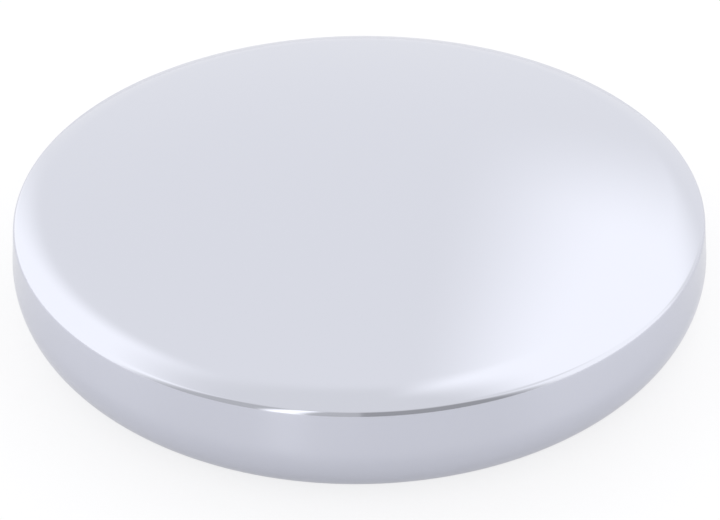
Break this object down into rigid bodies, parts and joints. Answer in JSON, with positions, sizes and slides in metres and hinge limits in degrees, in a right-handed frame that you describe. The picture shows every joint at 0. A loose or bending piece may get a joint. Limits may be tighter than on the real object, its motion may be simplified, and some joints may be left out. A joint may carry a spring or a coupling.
{
  "type": "baby moon hubcap",
  "caption": "Smooth round chromed wheel centre cap: crowned face with a crisp crease, short side wall rolled in to a hooked lip, hollow and open at the back.",
  "frame": {"origin": "on the axis of the cap, in the plane of the flat seat under the back lip, which is the bottom of the box", "axes": "+Z is the axis of the cap and points out of the crowned face; the cap is round, so X and Y are any two directions across it"},
  "size_m": [0.2666, 0.2666, 0.0482],
  "materials": {
    "chrome": "bright decorative chromium plate on polished pressed steel"
  },
  "bodies": {
    "root": {"hubcap": "chrome"}
  },
  "joints": []
}
